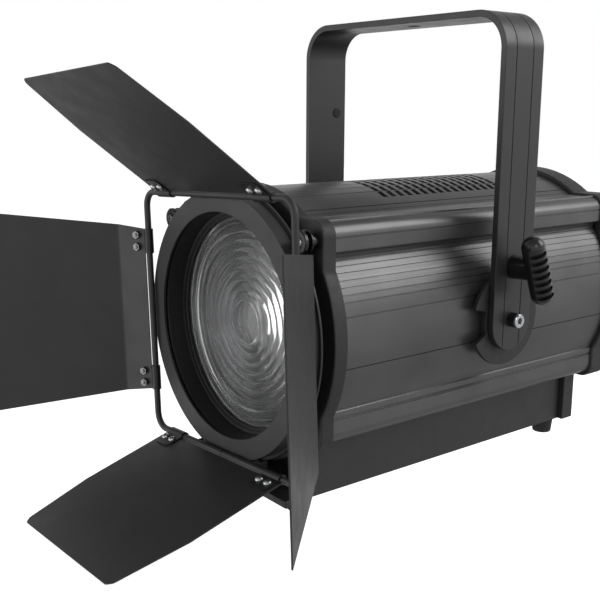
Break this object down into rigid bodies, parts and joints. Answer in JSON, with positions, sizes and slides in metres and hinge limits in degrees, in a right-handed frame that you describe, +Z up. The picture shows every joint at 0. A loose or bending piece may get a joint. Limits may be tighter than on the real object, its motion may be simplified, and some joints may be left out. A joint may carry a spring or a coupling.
{
  "type": "fresnel spotlight",
  "caption": "Fresnel spotlight with a stepped lens, four-leaf barn door, vented housing over a driver box, and a tilting yoke with a clamp lever.",
  "frame": {"origin": "middle of the yoke's top face, on the axis of the hanging bolt", "axes": "+Z up out of the yoke, -Y the way the lens faces, +X towards the clamp lever, which is also the tilt axis's direction"},
  "size_m": [0.4623, 0.5924, 0.4305],
  "materials": {
    "powder_black": "fine matte powder coat",
    "anodised_black": "satin black anodised extrusion",
    "plastic_black": "satin moulded",
    "glossy_black": "glossy moulded",
    "rubber_black": "matte",
    "zinc": "bright zinc plate",
    "steel": "ground and nickel plated",
    "bare_aluminium": "mill finish",
    "clear_glass": "polished, stepped front",
    "emitter_yellow": "phosphor under silicone",
    "board_green": "lacquered circuit board",
    "screen_blue": "smoked window"
  },
  "bodies": {
    "yoke": {"yoke_bracket": "powder_black", "clamp_shoe": "steel"},
    "clamp_lever": {"clamp_lever": "glossy_black"},
    "head": {"tilt_disc_right": "anodised_black", "tilt_disc_left": "anodised_black", "pivot_screw_right": "zinc", "pivot_screw_left": "zinc", "top_cover": "anodised_black", "side_panel_right": "anodised_black", "side_panel_left": "anodised_black", "bottom_plate": "powder_black", "front_cap": "plastic_black", "rear_cap": "plastic_black", "rear_panel": "powder_black", "display_window": "screen_blue", "power_inlet": "plastic_black", "data_sockets": "steel", "safety_eye": "steel", "box_shell": "powder_black", "box_front_cap": "plastic_black", "box_rear_cap": "plastic_black", "foot_front_right": "rubber_black", "foot_front_left": "rubber_black", "foot_rear_right": "rubber_black", "foot_rear_left": "rubber_black", "power_supply": "bare_aluminium", "lens_barrel": "plastic_black", "fresnel_lens": "clear_glass", "lens_ring": "plastic_black", "ring_roller_right": "plastic_black", "ring_roller_left": "plastic_black", "guide_rod_right": "steel", "guide_rod_left": "steel", "zoom_motor": "plastic_black", "control_board": "board_green"},
    "barn_door": {"ring_plate": "powder_black", "rod_frame": "powder_black"},
    "leaf_top": {"leaf_top": "powder_black", "clip_top_1": "plastic_black", "clip_top_2": "plastic_black"},
    "leaf_left": {"leaf_left": "powder_black", "clip_left_1": "plastic_black", "clip_left_2": "plastic_black"},
    "leaf_bottom": {"leaf_bottom": "powder_black", "clip_bottom_1": "plastic_black", "clip_bottom_2": "plastic_black"},
    "leaf_right": {"leaf_right": "powder_black", "clip_right_1": "plastic_black", "clip_right_2": "plastic_black"},
    "zoom_carriage": {"zoom_carriage": "bare_aluminium", "led_board": "board_green", "led_emitter": "emitter_yellow", "heat_sink": "bare_aluminium", "fan_frame": "plastic_black"},
    "fan_rotor": {"fan_rotor": "glossy_black"},
    "lead_screw": {"lead_screw": "steel"},
    "menu_button_1": {"menu_button_1": "glossy_black"},
    "menu_button_2": {"menu_button_2": "glossy_black"},
    "menu_button_3": {"menu_button_3": "glossy_black"},
    "menu_button_4": {"menu_button_4": "glossy_black"}
  },
  "joints": [
    {"name": "head_tilt", "type": "hinge", "parent": "yoke", "child": "head", "pos_m": [0, 0, -0.268], "axis": [1, 0, 0], "range_deg": [-45, 90]},
    {"name": "clamp_lever_turn", "type": "hinge", "parent": "yoke", "child": "clamp_lever", "pos_m": [0.1595, 0, -0.22], "axis": [1, 0, 0], "range_deg": [-45, 180]},
    {"name": "barn_door_turn", "type": "hinge", "parent": "head", "child": "barn_door", "pos_m": [0, -0.2269, -0.268], "axis": [0, 1, 0], "continuous": true},
    {"name": "leaf_top_hinge", "type": "hinge", "parent": "barn_door", "child": "leaf_top", "pos_m": [-0.00582, -0.2269, -0.1543], "axis": [-0.9987, 0, -0.0511], "range_deg": [-81, 60]},
    {"name": "leaf_bottom_hinge", "type": "hinge", "parent": "barn_door", "child": "leaf_bottom", "pos_m": [0.00582, -0.2269, -0.3817], "axis": [0.9987, 0, 0.0511], "range_deg": [-60, 81]},
    {"name": "leaf_left_hinge", "type": "hinge", "parent": "barn_door", "child": "leaf_left", "pos_m": [-0.1137, -0.2269, -0.27382], "axis": [0.0511, 0, -0.9987], "range_deg": [-45, 35]},
    {"name": "leaf_right_hinge", "type": "hinge", "parent": "barn_door", "child": "leaf_right", "pos_m": [0.1137, -0.2269, -0.26218], "axis": [-0.0511, 0, 0.9987], "range_deg": [-55, 25]},
    {"name": "zoom_slide", "type": "slide", "parent": "head", "child": "zoom_carriage", "axis": [0, -1, 0], "range_m": [-0.02, 0.06]},
    {"name": "lead_screw_turn", "type": "hinge", "parent": "head", "child": "lead_screw", "pos_m": [0, 0, -0.33], "axis": [0, -1, 0], "range_deg": [-360, 1080]},
    {"name": "fan_spin", "type": "hinge", "parent": "zoom_carriage", "child": "fan_rotor", "pos_m": [0, 0.0686, -0.244], "axis": [0, 1, 0], "continuous": true},
    {"name": "menu_button_1_press", "type": "slide", "parent": "head", "child": "menu_button_1", "axis": [0, -1, 0], "range_m": [0, 0.0015], "stiffness_N_per_m": 800, "springref_m": -0.0005},
    {"name": "menu_button_2_press", "type": "slide", "parent": "head", "child": "menu_button_2", "axis": [0, -1, 0], "range_m": [0, 0.0015], "stiffness_N_per_m": 800, "springref_m": -0.0005},
    {"name": "menu_button_3_press", "type": "slide", "parent": "head", "child": "menu_button_3", "axis": [0, -1, 0], "range_m": [0, 0.0015], "stiffness_N_per_m": 800, "springref_m": -0.0005},
    {"name": "menu_button_4_press", "type": "slide", "parent": "head", "child": "menu_button_4", "axis": [0, -1, 0], "range_m": [0, 0.0015], "stiffness_N_per_m": 800, "springref_m": -0.0005}
  ],
  "couplings": [
    {"joint": "lead_screw_turn", "follows": "zoom_slide", "rad_per_m": 314.16}
  ]
}
